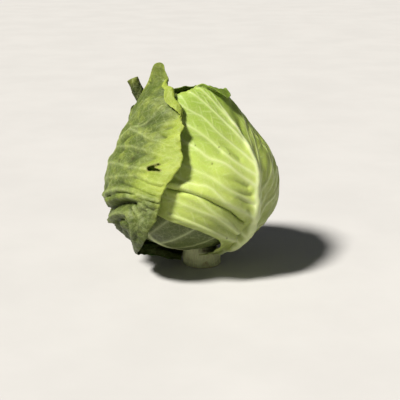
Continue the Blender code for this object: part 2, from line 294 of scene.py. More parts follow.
LEFT_VEINS = (
    (1, -58, 16, -54, 30, -46),
    (1, -42, 18, -38, 36, -32, 50, -30),
    (1, -26, 20, -20, 38, -10, 50, -6.7, 55.8, -6.7, 58.3, -10.2, 58.3, -16.6, 54.4, -25.6),
    (1, -10, 16, -4, 33.8, 4.7, 44.6, 8.5, 54.7, 9.8, 63.1, 9.8, 70.7, 7.8, 80, 5.1),
    (0.5, 4, 20, 10, 40, 16.5, 54, 20.5, 64.6, 21.8, 72.1, 19.3, 81, 18.8),
    (0, 14, 24, 22, 50, 26, 67, 28, 78, 29),
    (0, 24, 18, 33, 36, 39, 52, 42, 66, 42, 81, 41),
    (0, 18, 8, 30, 17.3, 40.1, 23.6, 49.1, 35.6, 56.1, 38.8, 63.6, 37.5, 73.3),
    (23.6, 49.1, 36, 51, 49.2, 51, 60, 52, 72, 51),
    (0, 34, 9, 46, 18, 58, 24, 70),
    (56.9, 6.6, 66, 1, 70, -5),
    (60.7, -1.8, 67.7, -9.8, 66, -14),
    (67.2, 2.7, 71.9, -1, 74.3, -4.1),
    (-1, -50, -30, -40, -60, -30),
    (-1, -30, -30, -19, -66, -4),
    (-1, -12, -30, 3, -64, 22),
    (-1, 4, -26, 22, -54, 42),
    (-1, 20, -18, 38, -40, 58),
)
LEFT_FOLDS = (
    Fold((-70, 0, 0, -6, 22, -1, 33.8, 4.7, 44.6, 8.5, 54.7, 9.8, 63.1, 9.8, 70.7, 7.8, 80, 5.1), 2.4, 2.0),
    Fold((28, 0, 36, 1.5, 45, 5.5, 54, 7.4, 63, 7.6, 72, 5.2, 79, 3.8), -2.2, 1.3),
    Fold((24, -4, 36, -1, 45.1, 3, 56.9, 5.8, 66.4, 6.6, 72.1, 5, 76.1, 1.7), 3.4, 2.6),
    Fold((-40, -16, 10, -14, 30, -9, 40.7, -4.6, 47.3, -1.2, 56.9, 1, 62, 1.8), -5.0, 3.0),
    Fold((20, -19, 32, -13, 41.6, -8.8, 50.3, -6.7, 55.8, -6.7, 58.3, -10.2, 58.3, -16.6, 54.4, -25.6), 3.4, 2.4),
    Fold((34, -17, 42, -13.5, 49, -12.5, 53, -15, 52, -23), -3.4, 2.4),
    Fold(LEFT_VEINS[11], 1.3, 1.2),
    Fold(LEFT_VEINS[12], 1.1, 1.2),
    Fold((56, -1, 62, -8, 62, -16), -1.4, 1.8),
    Fold((62, 1, 68.5, -5, 71, -9), -1.0, 1.2),
    Fold((58, 22.5, 64.6, 21.8, 72.1, 19.3, 80, 18.8), 1.1, 1.2),
    Fold((58, 19.8, 65, 19.2, 72, 17, 80, 16.4), -1.0, 1.3),
    Fold((50, 15.5, 62, 14.5, 72, 12, 80, 10.5), 0.9, 1.6),
    Fold((44, 13, 58, 12.8, 70, 10.4, 78, 8.4), -0.9, 1.5),
    Fold((24, 22, 35.7, 23.6, 50, 26, 66, 27.4), 0.9, 1.4),
    Fold(LEFT_VEINS[7][4:], 1.0, 1.6),
    Fold((24, 42, 36, 48, 48, 48, 58, 50), -0.9, 3.0),
    Fold((30, 33, 44, 38, 58, 39, 70, 37), -0.9, 3.0),
    Fold((41, 54, 52, 57, 62, 56), -0.9, 2.8),
    Fold((70.4, 30.4, 73.5, 31, 77, 31.4), 1.4, 1.4),
    Fold((64, 26.6, 70, 26, 76, 27.6), 0.9, 1.4),
)

CROWN_DETAIL = {"cells": (110, 104), "ruffle": 0.2}
CROWN_LEAVES = (
    Leaf("leaf_crown_back", 170.0, 1, 66.0, 112.0, "leaf_inner", centre=15.0, wave=0.0005, **CROWN_DETAIL),
    Leaf("leaf_crown_left", -70.0, 2, 64.0, 104.0, "leaf_inner", centre=15.0, wave=0.0005, **CROWN_DETAIL),
    Leaf("leaf_crown_right", 60.0, 3, 64.0, 92.0, "leaf_inner", centre=10.0, wave=0.0006, **CROWN_DETAIL),
)
WRAPPER_LEAVES = (
    Leaf("leaf_under", -42.0, 4, 70.0, 80.0, "leaf_outer", cells=(130, 124),
         right_edge=((0.0, 0.6), (0.08, 0.95), (0.25, 1.05), (0.5, 1.05), (0.78, 0.93), (1.0, 0.68))),
    Leaf("leaf_back", 176.0, 4, 58.0, 80.0, "leaf_outer", cells=(130, 110)),
    Leaf("leaf_right", 145.0, 5, 74.0, 70.0, "leaf_outer", rib=0.0025, cells=(160, 150), bunch=(0.0, 1.0),
         vein_height=0.45, roll_height=0.4),
    Leaf("leaf_front", 46.0, 6, 77.0, 78.0, "leaf_pale", rib=0.0034,
         left_edge=((0.0, 0.24), (0.16, 0.27), (0.28, 0.32), (0.36, 0.55), (0.42, 0.82), (0.55, 1.0),
                    (0.78, 0.93), (1.0, 0.68)),
         top_edge=((-1.0, -18.0), (-0.5, -5.0), (-0.2, -3.0), (-0.05, -3.0), (0.06, -0.5), (0.16, -0.5),
                   (0.25, -4.0), (0.34, -8.5), (0.45, -12.0), (0.6, -15.0), (1.0, -22.0)),
         curls=(Curl(0.12, 0.32, 0.019, 0.0028, 165.0),), cells=(212, 200), bunch=(0.0, 0.8), top_rows=2.0,
         midrib=((-76.0, 0.0), (-45.0, -1.0), (-27.0, -2.6), (-15.0, -3.6), (1.0, -0.9), (9.0, 2.0),
                 (27.0, 5.0), (41.0, 4.6), (50.0, 2.6), (65.0, 0.6), (90.0, 0.0)),
         veins_left=(), veins_right=(), veins=FRONT_VEINS, vein_spread=1.4, vein_height=0.7, roll_height=0.45,
         ruffle=0.3, folds=FRONT_FOLDS,
         specks=((-27, 24, 1.0), (-17, 34, 0.9), (-12, 27, 0.9), (-33, 40, 0.8), (-22, -30, 0.9))),
    Leaf("leaf_left", -98.0, 7, 83.0, 74.0, "leaf_wilted", lift=(0.0, 0.004), rib=0.0032,
         right_edge=((0.0, 0.15), (0.17, 0.24), (0.33, 0.76), (0.55, 0.98), (0.8, 1.01), (1.0, 0.76)),
         top_edge=((-1.0, -44.0), (-0.5, -36.0), (-0.22, -34.0), (-0.05, -25.0), (0.01, -16.0), (0.035, -8.0),
                   (0.06, -1.0), (0.1, 8.0), (0.135, 14.0), (0.165, 17.0), (0.2, 14.0), (0.28, 10.5),
                   (0.36, 12.0), (0.45, 16.5), (0.6, 17.0), (0.72, 13.0), (0.85, 6.0), (1.0, -2.0)),
         curls=(Curl(0.15, 0.14, 0.024, 0.014, 60.0), Curl(0.56, 0.52, 0.015, 0.0024, 165.0)),
         cells=(206, 208), bunch=(0.12, 1.0), top_rows=2.0, veins_left=(), veins_right=(), veins=LEFT_VEINS,
         vein_height=0.4, roll_height=0.9, crumple=0.5, flare=4.5, aged=1.0, ruffle=0.35, folds=LEFT_FOLDS,
         slits=(((67.6, 29.2, 69.8, 31.2, 72.4, 33.6), 3.2), ((68.6, 28.4, 71.6, 28.6, 76.0, 28.8), 3.1)),
         specks=((46.3, 32.3, 1.6), (35.0, 27.0, 1.2), (48.4, 38.1, 1.2), (20.0, 8.0, 1.4))),
)
ROLLED_EDGE = ((0.0, 0.3), (0.3, 1.0), (0.6, 0.8), (0.8, 0.55), (1.0, 0.45))
ROLLED_LEAF = Leaf(
    "leaf_rolled", -130.0, 6, 30.0, 74.0, "leaf_dark", wave=0.0004,
    left_edge=ROLLED_EDGE, right_edge=ROLLED_EDGE,
    top_edge=((-1.0, -4.0), (0.0, 0.0), (1.0, -4.0)),
    curls=(Curl(0.0, 4.0, 0.038, 0.014, 56.0),), roll=(0.80, 0.0060), cells=(200, 70), top_rows=1.5,
    vein_height=0.25, roll_height=0.3, crumple=1.1, ruffle=0.25,
)


# Settings.


class CabbageLeafSettings(bpy.types.PropertyGroup):
    """Sizes of the leaves."""

    blade: FloatProperty(
        name="Blade", description="Thickness of a leaf's blade", default=0.0010, subtype="DISTANCE", unit="LENGTH"
    )
    margin_blade: FloatProperty(
        name="Margin", description="Share of the blade's thickness left at its margin", default=0.6,
        min=0.3, max=1.0, subtype="FACTOR",
    )
    rib_width: FloatProperty(
        name="Midrib width", description="Half of the midrib's width at its foot", default=0.0062,
        subtype="DISTANCE", unit="LENGTH",
    )
    vein_width: FloatProperty(
        name="Side vein width", description="Half of a side vein's width where it leaves the midrib",
        default=0.0013, subtype="DISTANCE", unit="LENGTH",
    )
    seed: IntProperty(name="Seed", description="Start of the leaves' random unevenness", default=7)


class CabbageColourSettings(bpy.types.PropertyGroup):
    """Colours of the leaves and the stalk."""

    pale: FloatVectorProperty(
        name="Pale leaf", description="Blade of the bright front leaf", subtype="COLOR", default=(0.50, 0.61, 0.125)
    )
    inner: FloatVectorProperty(
        name="Inner leaf", description="Blade of the leaves over the crown", subtype="COLOR",
        default=(0.42, 0.53, 0.14),
    )
    # The far wrapper leaves' dark green is partly their own colour and partly painted shade.
    outer: FloatVectorProperty(
        name="Outer leaf", description="Blade of the far wrapper leaves", subtype="COLOR", default=(0.11, 0.15, 0.026)
    )
    wilted: FloatVectorProperty(
        name="Wilted leaf", description="Blade of the outermost leaf", subtype="COLOR", default=(0.074, 0.106, 0.011)
    )
    dark: FloatVectorProperty(
        name="Dark leaf", description="Blade of the dried rolled leaf", subtype="COLOR", default=(0.022, 0.032, 0.006)
    )
    vein: FloatVectorProperty(
        name="Vein", description="Ribs and veins", subtype="COLOR", default=(0.70, 0.78, 0.38)
    )
    yellow: FloatVectorProperty(
        name="Yellowed", description="Ageing margins and patches", subtype="COLOR", default=(0.48, 0.55, 0.09)
    )
    aged: FloatVectorProperty(
        name="Aged", description="The bright side of the wilted leaf", subtype="COLOR", default=(0.26, 0.325, 0.040)
    )
    brown: FloatVectorProperty(
        name="Browned", description="Dry spots and torn edges", subtype="COLOR", default=(0.10, 0.065, 0.022)
    )
    wax: FloatVectorProperty(
        name="Bloom", description="The leaves' waxy bloom", subtype="COLOR", default=(0.120, 0.146, 0.048)
    )
    cut: FloatVectorProperty(
        name="Cut stalk", description="The stalk and its cut face", subtype="COLOR", default=(0.66, 0.70, 0.36)
    )


class CabbageStageSettings(bpy.types.PropertyGroup):
    """The floor, the light and the camera."""

    floor: FloatVectorProperty(
        name="Floor", description="Colour of the floor", subtype="COLOR", default=(0.55, 0.54, 0.53)
    )
    key: FloatProperty(name="Key light", description="Strength of the broad sun-like light", default=6.3)
    fill: FloatProperty(name="Fill light", description="Power of the light opposite", default=0.55, unit="POWER")
    sky: FloatProperty(name="Surroundings", description="Strength of the even light", default=0.07)
    field: FloatProperty(
        name="Field", description="Width seen at the head", default=0.3895, subtype="DISTANCE", unit="LENGTH"
    )
    elevation: FloatProperty(name="Elevation", description="Camera's height above level, in degrees", default=15.0)


# Shape.


def smooth(value):
    """0 below 0, 1 above 1, and an even slope between."""
    value = np.clip(value, 0.0, 1.0)
    return value * value * (3.0 - 2.0 * value)


def hump(value):
    """1 at 0, falling to 0 at 1 and -1."""
    return smooth(1.0 - np.abs(value))


def through(points, value):
    """A smooth curve through (place, height) points, read at value."""
    places, heights = np.array(points).T
    value = np.clip(value, places[0], places[-1])
    slopes = np.gradient(heights, places)
    left = np.clip(np.searchsorted(places, value, side="right") - 1, 0, len(places) - 2)
    span = places[left + 1] - places[left]
    t = (value - places[left]) / span
    return (
        heights[left] * (1.0 + 2.0 * t) * (1.0 - t) ** 2
        + heights[left + 1] * t * t * (3.0 - 2.0 * t)
        + span * t * (1.0 - t) * (slopes[left] * (1.0 - t) - slopes[left + 1] * t)
    )


def rolling(x, y, length, seed, count=16):
    """Uneven ground of about unit height, its hollows about length apart."""
    draw = np.random.default_rng(seed)
    total = np.zeros_like(x)
    for _ in range(count):
        heading = draw.uniform(0.0, 2.0 * np.pi)
        pace = 2.0 * np.pi / (length * draw.uniform(0.7, 1.5))
        start = draw.uniform(0.0, 2.0 * np.pi)
        total += np.sin(pace * (x * np.cos(heading) + y * np.sin(heading)) + start)
    return total / np.sqrt(count / 2.0)


def head_radius(latitude):
    return through(HEAD_PROFILE, latitude)


def layer_depth(layer, latitude=-90.0):
    """How far in from the outermost one a layer lies; layers open a little round the crown."""
    return (OUTER_LAYER - layer) * LAYER_STEP - layer * CROWN_STEP * smooth((latitude - 45.0) / 35.0)


def on_head(leaf, x, y):
    """Directions from the head's centre for a leaf's flat angles: x across it, y up from the girth."""
    azimuth, centre = np.radians(leaf.azimuth), np.radians(leaf.centre)
    middle = np.array((np.sin(azimuth) * np.cos(centre), -np.cos(azimuth) * np.cos(centre), np.sin(centre)))
    right = np.array((np.cos(azimuth), np.sin(azimuth), 0.0))
    up = np.cross(middle, right)
    y = y - centre
    far = np.hypot(x, y) + 1e-9
    share = (np.sin(far) / far)[..., None]
    return np.cos(far)[..., None] * middle + share * (x[..., None] * right + y[..., None] * up)


def outline(leaf, across, along):
    """Flat angles in radians of the place across (-1 to 1) and along (0 to 1) a leaf."""
    share = np.where(across < 0.0, through(leaf.left_edge, along), through(leaf.right_edge, along))
    ripple = leaf.wave * RIPPLE * np.sin(1.5 * leaf.waves * np.pi * along + leaf.azimuth)
    x = across * leaf.half_width * (share + ripple * across * across)
    crest = leaf.wave * RIPPLE * leaf.half_width * np.sin(leaf.waves * np.pi * across + leaf.azimuth)
    edge = through(leaf.top_edge, across) + crest
    y = FOOT_LATITUDE + (leaf.top - FOOT_LATITUDE) * along + edge * along**4
    return np.radians(x), np.radians(y)


def stand_off(leaf, across, along):
    """How far a leaf's inner face stands out from its layer."""
    left, right = leaf.lift
    out = smooth((np.abs(across) - LIFT_FROM) / (1.0 - LIFT_FROM))
    off = np.where(across < 0.0, left, right) * out
    edge = smooth((np.abs(across) - WAVE_FROM) / (1.0 - WAVE_FROM)) * smooth(along / WAVE_FOOT)
    edge = np.maximum(edge, smooth((along - WAVE_TOP) / (1.0 - WAVE_TOP)))
    turns = np.sin(leaf.waves * np.pi * along + WAVE_SLANT * across)
    return off + 0.5 * leaf.wave * edge * (1.0 + turns)


def bend_line(line, out, width, radius, turn):
    """Bends the last stretch of a line of points, of that width, about an edge square to it."""
    steps = np.linalg.norm(np.diff(line, axis=0), axis=1)
    run = np.concatenate(([0.0], np.cumsum(steps)))
    start = run[-1] - width
    foot = np.array([np.interp(start, run, line[:, k]) for k in range(3)])
    before = np.array([np.interp(start - BEND_SIGHT, run, line[:, k]) for k in range(3)])
    ahead = (foot - before) / np.linalg.norm(foot - before)
    out = out - ahead * np.dot(out, ahead)
    out = out / np.linalg.norm(out)
    past = run > start
    far = run[past] - start
    angle = np.minimum(far / radius, abs(turn))
    rest = far - angle * radius
    side = np.sign(turn) * out
    bent = line.copy()
    bent[past] = (
        foot
        + np.outer(radius * np.sin(angle) + rest * np.cos(angle), ahead)
        + np.outer(radius * (1.0 - np.cos(angle)) + rest * np.sin(angle), side)
    )
    return bent


def curl_margin(points, curl, across):
    """Bends a stretch of a leaf's upper margin outwards, column by column."""
    curled = points.copy()
    for column, place in enumerate(across):
        share = float(hump((place - curl.centre) / curl.reach))
        if share * curl.width < 1e-4:
            continue
        out = points[-1, column] - HEAD_CENTRE
        turn = np.radians(curl.turn) * min(1.0, 2.0 * share)
        curled[:, column] = bend_line(
            points[:, column], out / np.linalg.norm(out), share * curl.width, curl.radius, turn
        )
    return curled


def drawn_together(low, high, count, place, pull, spread):
    """Evenly counted places from low to high, closer together round one place."""
    fine = np.linspace(low, high, PLACES)
    crowding = np.cumsum(1.0 + pull * np.exp(-(((fine - place) / spread) ** 2)))
    return np.interp(np.linspace(crowding[0], crowding[-1], count + 1), crowding, fine)


def roll_lengthwise(points, leaf, along):
    """Rolls the upper part of a leaf into a tube about its midrib, open towards the head's outside."""
    start, radius = leaf.roll
    middle = points.shape[1] // 2
    rolled = points.copy()
    for index, place in enumerate(along):
        share = smooth((place - start) / (1.0 - start) * ROLL_HASTE)
        if share <= 0.0:
            continue
        line = points[index]
        spine = line[middle]
        ahead = points[min(index + 1, len(along) - 1), middle] - points[index - 1, middle]
        ahead = ahead / np.linalg.norm(ahead)
        side = line[middle + 1] - line[middle - 1]
        side = side - ahead * np.dot(side, ahead)
        side = side / np.linalg.norm(side)
        out = np.cross(side, ahead)
        steps = np.linalg.norm(np.diff(line, axis=0), axis=1)
        run = np.concatenate(([0.0], np.cumsum(steps)))
        run = run - run[middle]
        bow = share / radius
        tube = spine + np.outer(np.sin(run * bow) / bow, side)
        tube = tube + np.outer((1.0 - np.cos(run * bow)) / bow, out)
        rolled[index] = line + (tube - line) * min(1.0, ROLL_SET * share)
    return rolled


def outward(points):
    """The outward normals of rows of points."""
    up = np.gradient(points, axis=0)
    right = np.gradient(points, axis=1)
    normals = np.cross(right, up)
    return normals / (np.linalg.norm(normals, axis=-1, keepdims=True) + 1e-12)


def line_field(x, y, line, width, far_width=None, fade=0.0):
    """1 along a line, falling to 0 over a width in millimetres; width and strength may change to its end."""
    line = np.reshape(line, (-1, 2)) * MM_A_DEGREE
    far_width = width if far_width is None else far_width
    margin = 3.0 * max(width, far_width)
    field = np.zeros_like(x)
    low, high = line.min(axis=0) - margin, line.max(axis=0) + margin
    near = (x > low[0]) & (x < high[0]) & (y > low[1]) & (y < high[1])
    px, py = x[near], y[near]
    best = np.full(px.shape, 1e9)
    place = np.zeros_like(px)
    count = len(line) - 1
    for index in range(count):
        (ax, ay), (bx, by) = line[index], line[index + 1]
        dx, dy = bx - ax, by - ay
        t = np.clip(((px - ax) * dx + (py - ay) * dy) / (dx * dx + dy * dy), 0.0, 1.0)
        gap = np.hypot(px - ax - t * dx, py - ay - t * dy)
        nearer = gap < best
        best = np.where(nearer, gap, best)
        place = np.where(nearer, (index + t) / count, place)
    spread = width + (far_width - width) * place
    field[near] = np.exp(-((best / spread) ** 2)) * (1.0 - fade * place)
    return field


def side_vein(leaf, side, start, slope, draw):
    """The line of one side vein, from the midrib to beyond the margin."""
    run = np.linspace(0.0, 1.0, 14)
    reach = VEIN_REACH * run
    sway = draw.uniform(0.5, 1.3) * np.sin(run * draw.uniform(5.0, 8.0) + draw.uniform(0.0, 6.0)) * run
    x = float(through(leaf.midrib, start)) + side * reach
    y = start + slope * reach * (0.86 + 0.14 * run) + sway
    return np.stack((x, y), axis=1)


def smoothed(line, count=16):
    """A line of few points as a smooth curve of more."""
    run = np.concatenate(([0.0], np.cumsum(np.linalg.norm(np.diff(line, axis=0), axis=1))))
    places = np.linspace(0.0, run[-1], count)
    return np.stack([through(np.stack((run, line[:, k]), axis=1), places) for k in range(2)], axis=1)


def branches(vein, draw):
    """Short lines that leave a side vein on both sides in turn, angled forwards."""
    found = []
    side = 1.0
    for place in TWIG_PLACES:
        index = place * (len(vein) - 1)
        base = int(index)
        ahead = vein[base + 1] - vein[base]
        root = vein[base] + ahead * (index - base)
        ahead = ahead / np.linalg.norm(ahead)
        angle = side * np.radians(draw.uniform(32.0, 52.0))
        length = draw.uniform(6.0, 12.0)
        line = [root]
        for _ in range(TWIG_STEPS):
            turned = np.array((
                ahead[0] * np.cos(angle) - ahead[1] * np.sin(angle),
                ahead[0] * np.sin(angle) + ahead[1] * np.cos(angle),
            ))
            line.append(line[-1] + turned * length / TWIG_STEPS)
            angle = angle * 0.93 + np.radians(draw.uniform(-7.0, 7.0))
        found.append(np.array(line))
        side = -side
    return found


def vein_fields(leaf, x, y, settings):
    """How much of the midrib and of the side veins there is at each place, 0 to 1."""
    draw = np.random.default_rng(settings.seed + int(leaf.azimuth + 360))
    up = (y / MM_A_DEGREE - FOOT_LATITUDE) / (leaf.top - FOOT_LATITUDE)
    off_rib = x - through(leaf.midrib, y / MM_A_DEGREE) * MM_A_DEGREE
    rib_width = 1000.0 * settings.rib_width * np.clip(1.0 - 0.80 * up, 0.12, 1.0)
    rib = np.exp(-((off_rib / rib_width) ** 2))
    lines = [np.reshape(line, (-1, 2)) for line in leaf.veins]
    for side, table in ((-1.0, leaf.veins_left), (1.0, leaf.veins_right)):
        lines += [side_vein(leaf, side, start, slope, draw) for start, slope in table]
    veins = np.zeros_like(x)
    width = 1000.0 * settings.vein_width * leaf.vein_spread
    for line in lines:
        line = smoothed(line)
        strength = draw.uniform(0.65, 1.0)
        core = line_field(x, y, line, VEIN_CORE[0] * width, VEIN_CORE[1] * width, 0.35)
        halo = line_field(x, y, line, VEIN_HALO[0] * width, VEIN_HALO[1] * width, 0.6)
        veins = np.maximum(veins, strength * (0.68 * core + 0.32 * halo))
        for branch in branches(line, draw):
            twig = line_field(x, y, branch, TWIG_WIDTH[0] * width, TWIG_WIDTH[1] * width, 0.5)
            veins = np.maximum(veins, 0.42 * strength * twig)
    return rib, veins


def inside(u, v, margins):
    """1 within a leaf, falling to 0 at its sides and its top over margins of that share of it."""
    return smooth((1.0 - np.abs(u)) / margins[0]) * smooth((1.0 - v) / margins[1])


def relief(leaf, x, y, u, v, rib, veins, settings):
    """How far the blade stands out from its smooth shape, in millimetres."""
    seed = settings.seed + 11 * int(leaf.azimuth + 360)
    side = np.tanh(x / COMB_TURN)
    along_veins = (0.72 * side * x + 0.69 * y) * COMB_STRETCH
    combed = rolling(along_veins, 0.69 * side * x - 0.72 * y, COMB_GAP, seed)
    uneven = 0.6 * combed + 0.4 * rolling(x, y, SWELL_GAP, seed + 1)
    height = leaf.roll_height * uneven * inside(u, v, CALM_MARGIN)
    sway = SWAY * rolling(x, y, SWAY_GAP, seed + 5)
    wrinkles = np.abs(rolling(0.28 * x, y - 0.25 * x + sway, WRINKLE_GAP, seed + 2))
    creases = np.abs(rolling(0.45 * (x + y), y - 0.6 * x + sway, CREASE_GAP, seed + 3))
    slack = smooth((SLACK_TOP - y) / SLACK_REACH) * smooth((y - SLACK_FOOT) / SLACK_REACH)
    height += leaf.crumple * (0.35 + 1.1 * slack) * (1.3 - 1.1 * wrinkles - 0.6 * creases)
    height += leaf.vein_height * veins * (1.0 - 0.6 * rib)
    for fold in leaf.folds:
        height += fold.height * line_field(x, y, fold.line, fold.width, fade=fold.fade)
    edge = 1.0 - inside(u, v, RUFFLE_MARGIN)
    height += leaf.ruffle * edge * (0.9 + rolling(x, y, RUFFLE_GAP, seed + 4))
    height += leaf.flare * smooth((u - FLARE_FROM) / (1.0 - FLARE_FROM)) * smooth(v / 0.3)
    return height * smooth(v / 0.05)


def frayed(place, seed):
    """The uneven line of a margin, in and out by about 1, at places in radians."""
    coarse, fine = FRAY_GAPS
    place, still = place * FRAY_SCALE, 0.0 * place
    return 0.6 * rolling(place, still, coarse, seed) + 0.4 * rolling(place, still, fine, seed + 1)


def ragged(leaf, x, y, u, v, settings):
    """Moves a leaf's margins in and out by a little, so that they aren't ruled lines."""
    seed = settings.seed + 23 * int(leaf.azimuth + 360)
    bite = np.radians(leaf.nibble / MM_A_DEGREE)
    sides, top = frayed(y, seed), frayed(x, seed + 2)
    x = x + np.sign(u) * bite * sides * smooth((np.abs(u) - 0.9) / 0.1) * smooth(v / 0.2)
    y = y + bite * top * smooth((v - 0.93) / 0.07)
    return x, y


def leaf_sheet(leaf, settings):
    """The leaf's inner face as rows of points, foot first, with its thickness and surface fields."""
    along = drawn_together(0.0, 1.0, leaf.cells[0], 1.0, leaf.top_rows, 0.15)
    across = drawn_together(-1.0, 1.0, leaf.cells[1], *leaf.bunch, 0.3)
    u, v = np.meshgrid(across, along)
    x, y = outline(leaf, u, v)
    x, y = ragged(leaf, x, y, u, v, settings)
    heading = on_head(leaf, x, y)
    latitude = np.degrees(np.arcsin(np.clip(heading[..., 2], -1.0, 1.0)))
    radius = head_radius(latitude) - layer_depth(leaf.layer, latitude) + stand_off(leaf, u, v)
    points = HEAD_CENTRE + radius[..., None] * heading
    for curl in leaf.curls:
        points = curl_margin(points, curl, across)
    if leaf.roll[1] > 0.0:
        points = roll_lengthwise(points, leaf, along)
    flat_x, flat_y = np.degrees(x) * MM_A_DEGREE, np.degrees(y) * MM_A_DEGREE
    rib, veins = vein_fields(leaf, flat_x, flat_y, settings)
    stand = relief(leaf, flat_x, flat_y, u, v, rib, veins, settings)
    points = points + outward(points) * 0.001 * stand[..., None]
    edge = 1.0 - inside(u, v, THIN_MARGIN)
    thickness = settings.blade * (1.0 - (1.0 - settings.margin_blade) * edge) + leaf.rib * (1.0 - v) * rib
    near, spots = np.zeros_like(flat_x), np.zeros_like(flat_x)
    for line, width in leaf.slits:
        near = np.maximum(near, line_field(flat_x, flat_y, line, width, 0.7 * width))
    for over, up, size in leaf.specks:
        far = np.hypot(flat_x - over * MM_A_DEGREE, flat_y - up * MM_A_DEGREE)
        spots = np.maximum(spots, smooth(1.5 - far / size))
    fields = {
        "height": (flat_y / MM_A_DEGREE - FOOT_LATITUDE) / (leaf.top - FOOT_LATITUDE),
        # Painted shade: how much the colour is darkened in the blade's creases.
        "crease_shade": smooth(-stand / CREASE_SHADE_DEPTH),
        "aged": leaf.aged * smooth((u - AGED_FROM) / 0.30) * smooth((flat_y - AGED_OVER) / 22.0),
        "flat_x": flat_x * 0.001,
        "flat_y": flat_y * 0.001,
        "vein": veins,
        "rib": rib * smooth((1.15 - v) / 0.5),
        "edge": edge,
        "torn": near,
        "speck": spots,
    }
    return points, thickness, fields


def leaning(points):
    """Points turned with the whole head about the middle of its foot."""
    turn = np.radians(HEAD_LEAN)
    lean = np.array(((np.cos(turn), 0.0, np.sin(turn)), (0.0, 1.0, 0.0), (-np.sin(turn), 0.0, np.cos(turn))))
    return points @ lean.T


def clear_selection():
    for other in bpy.context.selected_objects:
        other.select_set(False)


def select_only(obj):
    """Makes one object the only selected one, and the active one."""
    clear_selection()
    obj.select_set(True)
    bpy.context.view_layer.objects.active = obj


def set_values(mesh, name, values):
    """Keeps a number for each of a mesh's points."""
    field = mesh.attributes.new(name, "FLOAT", "POINT")
    field.data.foreach_set("value", np.ascontiguousarray(values, dtype=np.float32).ravel())


def fresh_grid(name, rows, columns):
    """A new grid, with the row and the column of each of its points."""
    clear_selection()
    bpy.ops.mesh.primitive_grid_add(x_subdivisions=columns, y_subdivisions=rows, size=2.0)
    obj = bpy.context.active_object
    obj.name = obj.data.name = name + "_fine"
    flat = np.zeros(len(obj.data.vertices) * 3)
    obj.data.vertices.foreach_get("co", flat)
    flat = flat.reshape(-1, 3)
    column = np.rint((flat[:, 0] + 1.0) * columns / 2.0).astype(int)
    row = np.rint((flat[:, 1] + 1.0) * rows / 2.0).astype(int)
    return obj, row, column


def build_leaf(leaf, settings, finish):
    """One leaf: a grid laid on the head, torn where it has slits, and given its thickness outwards."""
    points, thickness, fields = leaf_sheet(leaf, settings)
    obj, row, column = fresh_grid(leaf.name, *leaf.cells)
    mesh = obj.data
    mesh.vertices.foreach_set("co", leaning(points[row, column]).ravel())
    for name, values in fields.items():
        set_values(mesh, name, values[row, column])
    thickest = float(thickness.max())
    set_values(mesh, "blade", thickness[row, column] / thickest)
    tear_open(obj, fields["torn"][row, column] > TORN)
    give_thickness(obj, thickest)
    mesh.polygons.foreach_set("use_smooth", [True] * len(mesh.polygons))
    dress(obj, leaf.name, finish)


def torn_rim(mesh):
    """Which points lie on the rim of a slit."""
    sides = np.zeros(len(mesh.loops), dtype=np.int32)
    mesh.loops.foreach_get("edge_index", sides)
    ends = np.zeros(2 * len(mesh.edges), dtype=np.int32)
    mesh.edges.foreach_get("vertices", ends)
    open_edges = np.bincount(sides, minlength=len(mesh.edges)) == 1
    rim = np.zeros(len(mesh.vertices), dtype=bool)
    rim[ends.reshape(-1, 2)[open_edges].ravel()] = True
    near = np.zeros(len(mesh.vertices), dtype=np.float32)
    mesh.attributes["torn"].data.foreach_get("value", near)
    return rim & (near > TORN_RIM)


def tear_open(obj, gone):
    """Takes away the faces that lie in a slit, and evens the slit's rim."""
    if not gone.any():
        return
    mesh = obj.data
    select_only(obj)
    for parts in (mesh.vertices, mesh.edges):
        parts.foreach_set("select", [False] * len(parts))
    mesh.polygons.foreach_set("select", [all(gone[i] for i in face.vertices) for face in mesh.polygons])
    bpy.ops.object.mode_set(mode="EDIT")
    bpy.ops.mesh.select_mode(type="FACE")
    bpy.ops.mesh.delete(type="FACE")
    bpy.ops.mesh.select_mode(type="VERT")
    bpy.ops.object.mode_set(mode="OBJECT")
    mesh.vertices.foreach_set("select", torn_rim(mesh))
    bpy.ops.object.mode_set(mode="EDIT")
    bpy.ops.mesh.vertices_smooth(factor=0.6, repeat=6)
    bpy.ops.mesh.select_all(action="DESELECT")
    bpy.ops.object.mode_set(mode="OBJECT")


def give_thickness(obj, thickest):
    """Thickens a leaf's sheet outwards by its "blade" shares, and marks the outer face's points."""
    mesh = obj.data
    shares = np.zeros(len(mesh.vertices), dtype=np.float32)
    mesh.attributes["blade"].data.foreach_get("value", shares)
    group = obj.vertex_groups.new(name="thickness")
    for index, share in enumerate(shares):
        group.add([index], float(share), "REPLACE")
    select_only(obj)
    shell = obj.modifiers.new("blade", "SOLIDIFY")
    shell.thickness = thickest
    shell.offset = 1.0
    shell.vertex_group = group.name
    count = len(mesh.vertices)
    bpy.ops.object.modifier_apply(modifier=shell.name)
    set_values(obj.data, "outer", np.arange(len(obj.data.vertices)) < count)
    obj.vertex_groups.clear()


